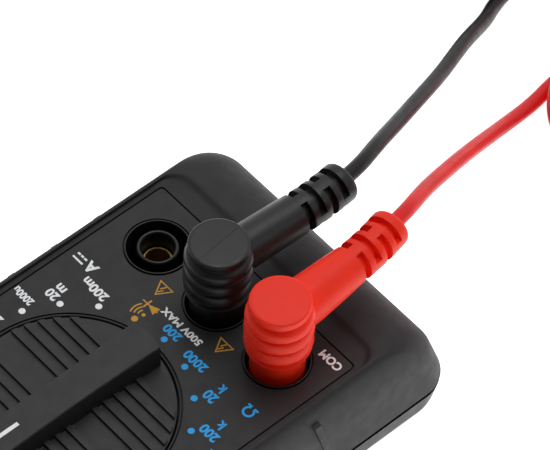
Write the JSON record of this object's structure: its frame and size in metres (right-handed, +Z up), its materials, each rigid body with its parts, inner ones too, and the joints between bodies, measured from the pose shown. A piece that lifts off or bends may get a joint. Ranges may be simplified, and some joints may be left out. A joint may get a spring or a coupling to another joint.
{
  "type": "digital multimeter",
  "caption": "Handheld digital multimeter lying face up, with a rotary range selector, display, input jacks and plugged-in probe leads.",
  "frame": {"origin": "on the supporting surface, under the middle of the case", "axes": "+X towards the meter's right-hand side, +Y from the jacks to the display, +Z up out of the face"},
  "size_m": [0.1264, 0.2958, 0.0513],
  "materials": {
    "case_plastic": "fine moulded grain, soft sheen",
    "knob_plastic": "satin moulded",
    "panel_film": "printed film, satin",
    "display_lens": "clear, slightly grey",
    "display_glass": "grey-green reflective display",
    "white_plastic": "moulded",
    "contact_rubber": "matte",
    "circuit_board": "solder mask",
    "chip_epoxy": "matte black",
    "blue_plastic": "moulded",
    "capacitor_case": "dipped",
    "fuse_glass": "clear with metal caps",
    "nickel": "nickel plated",
    "copper": "bare copper",
    "brass": "machined, bright",
    "battery_jacket": "printed steel jacket",
    "screw_steel": "zinc plated",
    "red_plug": "soft moulded, satin",
    "black_plug": "soft moulded, satin",
    "red_cable": "soft sleeve, satin",
    "black_cable": "soft sleeve, satin"
  },
  "bodies": {
    "case": {"front_case": "case_plastic", "rear_case": "case_plastic", "face_panel": "panel_film", "lcd_window": "display_lens", "lcd_glass": "display_glass", "lcd_frame": "white_plastic", "zebra_strip": "contact_rubber", "pcb": "circuit_board", "controller_chip": "chip_epoxy", "trimmer": "blue_plastic", "film_capacitor_1": "capacitor_case", "film_capacitor_2": "capacitor_case", "buzzer": "chip_epoxy", "fuse": "fuse_glass", "fuse_clip_1": "nickel", "fuse_clip_2": "nickel", "shunt_wire": "copper", "jack_sleeve_common": "brass", "jack_sleeve_volts": "brass", "jack_sleeve_ten_amp": "brass", "battery": "battery_jacket", "battery_snap": "chip_epoxy", "battery_lead_red": "red_cable", "battery_lead_black": "black_cable", "case_screw_1": "screw_steel", "case_screw_2": "screw_steel", "case_screw_3": "screw_steel", "case_screw_4": "screw_steel", "pcb_screw_1": "screw_steel", "pcb_screw_2": "screw_steel", "pcb_screw_3": "screw_steel"},
    "selector": {"rotary_knob": "knob_plastic", "detent_ball_1": "screw_steel", "detent_ball_2": "screw_steel", "detent_spring_1": "screw_steel", "detent_spring_2": "screw_steel", "wiper_contact_1": "copper", "wiper_contact_2": "copper", "wiper_contact_3": "copper"},
    "battery_door": {"battery_cover": "case_plastic", "battery_cover_screw": "screw_steel"},
    "red_lead": {"red_plug_body": "red_plug", "red_plug_pin": "nickel", "red_cord": "red_cable", "red_coil": "red_cable", "red_cord_tail": "red_cable", "red_probe_handle": "red_plug", "red_probe_tip": "nickel"},
    "black_lead": {"black_plug_body": "black_plug", "black_plug_pin": "nickel", "black_cord": "black_cable", "black_coil": "black_cable", "black_cord_tail": "black_cable", "black_probe_handle": "black_plug", "black_probe_tip": "nickel"}
  },
  "joints": [
    {"name": "knob_turn", "type": "hinge", "parent": "case", "child": "selector", "pos_m": [0, 0.0057, 0.0302], "axis": [0, 0, 1], "continuous": true},
    {"name": "battery_door_swing", "type": "hinge", "parent": "case", "child": "battery_door", "pos_m": [0, 0.0567, 0], "axis": [1, 0, 0], "range_deg": [0, 50]},
    {"name": "red_plug_pull", "type": "slide", "parent": "case", "child": "red_lead", "axis": [0, 0, 1], "range_m": [0, 0.019]},
    {"name": "black_plug_pull", "type": "slide", "parent": "case", "child": "black_lead", "axis": [0, 0, 1], "range_m": [0, 0.019]}
  ]
}
